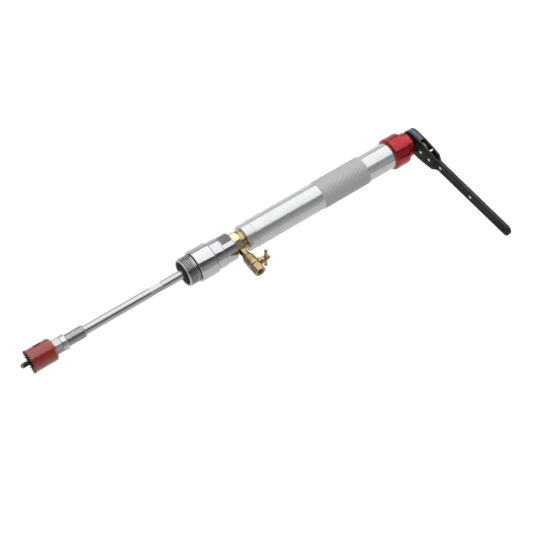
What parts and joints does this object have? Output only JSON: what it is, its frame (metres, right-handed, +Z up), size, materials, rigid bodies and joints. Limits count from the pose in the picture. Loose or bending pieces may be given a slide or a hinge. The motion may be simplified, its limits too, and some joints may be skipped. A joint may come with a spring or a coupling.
{
  "type": "hot tap drilling tool",
  "caption": "Hand under-pressure pipe drill: threaded nipple, brass gland with purge valve, screw feed barrel, sliding rod with hole saw and a lever ratchet.",
  "frame": {"origin": "centre of the front face of the connection nipple, on the drill rod's axis", "axes": "+X along the rod from the hole saw towards the ratchet, -Y along the ratchet handle and the purge valve, +Z up as the tool lies"},
  "size_m": [0.7745, 0.2704, 0.056],
  "materials": {
    "nipple_steel": "bright turned and polished, slightly satin",
    "coupling_steel": "bright turned, milled wrench flats",
    "seal_black": "matt moulded nitrile",
    "gasket_copper": "soft copper, dull",
    "gland_brass": "machined, bright facets",
    "bush_bronze": "machined bronze",
    "valve_brass": "cast and turned, pale pinkish brass",
    "seat_white": "moulded PTFE",
    "ball_chrome": "polished plating",
    "spring_steel": "drawn wire",
    "bearing_steel": "ground and polished",
    "barrel_aluminium": "satin turned, knurled grip",
    "red_anodised": "red anodised, fine turning marks",
    "machined_steel": "turned",
    "rod_steel": "ground bright bar",
    "screw_brass": "turned",
    "saw_red": "red paint, worn at the teeth",
    "drill_black": "black oxide",
    "ratchet_black": "dark phosphate with pale rubbed streaks and bright sheared edges",
    "spacer_grey": "sawn blue grey steel",
    "wheel_steel": "hardened, dark grey",
    "pawl_bronze": "cast bronze",
    "rivet_steel": "set and filed flush",
    "screw_black": "black oxide"
  },
  "bodies": {
    "base": {"connection_nipple": "nipple_steel", "shoulder_seal": "seal_black", "coupling_body": "coupling_steel", "nipple_o_ring": "seal_black", "gland_gasket": "gasket_copper", "gland_body": "gland_brass", "guide_bush": "bush_bronze", "rod_seals": "seal_black", "seal_spacers": "gland_brass", "seal_nut": "gland_brass", "feed_stop_ring": "spring_steel", "purge_nipple": "valve_brass", "valve_inlet": "valve_brass", "valve_body": "valve_brass", "ball_seats": "seat_white", "stem_packing": "seal_black", "packing_nut": "valve_brass"},
    "purge": {"valve_ball": "ball_chrome", "valve_stem": "valve_brass", "valve_handle": "valve_brass", "valve_handle_nut": "valve_brass"},
    "carriage": {"ball_cage": "bush_bronze", "thrust_balls": "bearing_steel"},
    "barrel": {"barrel_tube": "barrel_aluminium", "feed_nut": "bush_bronze", "feed_nut_ring": "spring_steel", "end_cap": "red_anodised", "cap_screws": "screw_black", "thrust_plate": "machined_steel", "thrust_washer": "bush_bronze", "rear_race": "bearing_steel"},
    "chuck": {"spindle": "machined_steel", "front_race": "bearing_steel", "collet": "machined_steel"},
    "clamp": {"clamp_nut": "red_anodised"},
    "rod": {"drill_rod": "rod_steel", "rod_coupler": "rod_steel", "coupler_pin": "spring_steel", "saw_arbor": "rod_steel", "drive_pins": "spring_steel", "arbor_collar": "rod_steel", "arbor_screw": "screw_brass", "hole_saw": "saw_red", "pilot_drill": "drill_black", "coupon_wire": "spring_steel", "ratchet_wheel": "wheel_steel", "drive_washer": "machined_steel", "drive_screw": "screw_black"},
    "ratchet": {"front_plate": "ratchet_black", "rear_plate": "ratchet_black", "head_spacer": "spacer_grey", "handle_rivets": "rivet_steel", "pawl_pin": "rivet_steel", "stop_pin": "rivet_steel", "pawl_spring": "spring_steel"},
    "pawl": {"pawl": "pawl_bronze"}
  },
  "joints": [
    {"name": "feed_travel", "type": "slide", "parent": "base", "child": "carriage", "axis": [1, 0, 0], "range_m": [-0.006, 0.062]},
    {"name": "barrel_turn", "type": "hinge", "parent": "carriage", "child": "barrel", "pos_m": [0.436, 0, 0], "axis": [1, 0, 0], "range_deg": [-1085, 11165]},
    {"name": "chuck_spin", "type": "hinge", "parent": "carriage", "child": "chuck", "pos_m": [0.436, 0, 0], "axis": [1, 0, 0], "continuous": true},
    {"name": "clamp_turn", "type": "hinge", "parent": "chuck", "child": "clamp", "pos_m": [0.458, 0, 0], "axis": [1, 0, 0], "range_deg": [0, 270]},
    {"name": "rod_slide", "type": "slide", "parent": "chuck", "child": "rod", "axis": [1, 0, 0], "range_m": [0, 0.225]},
    {"name": "handle_swing", "type": "hinge", "parent": "rod", "child": "ratchet", "pos_m": [0.4712, 0, 0], "axis": [1, 0, 0], "continuous": true},
    {"name": "pawl_lift", "type": "hinge", "parent": "ratchet", "child": "pawl", "pos_m": [0.4712, -0.026, 0], "axis": [1, 0, 0], "range_deg": [0, 9], "stiffness_Nm_per_rad": 0.15, "springref_deg": -20.05, "deforming": ["pawl_spring"]},
    {"name": "purge_turn", "type": "hinge", "parent": "base", "child": "purge", "pos_m": [0.1015, -0.0515, 0], "axis": [1, 0, 0], "range_deg": [0, 90]}
  ],
  "couplings": [
    {"joint": "barrel_turn", "follows": "feed_travel", "rad_per_m": 3141.6}
  ]
}
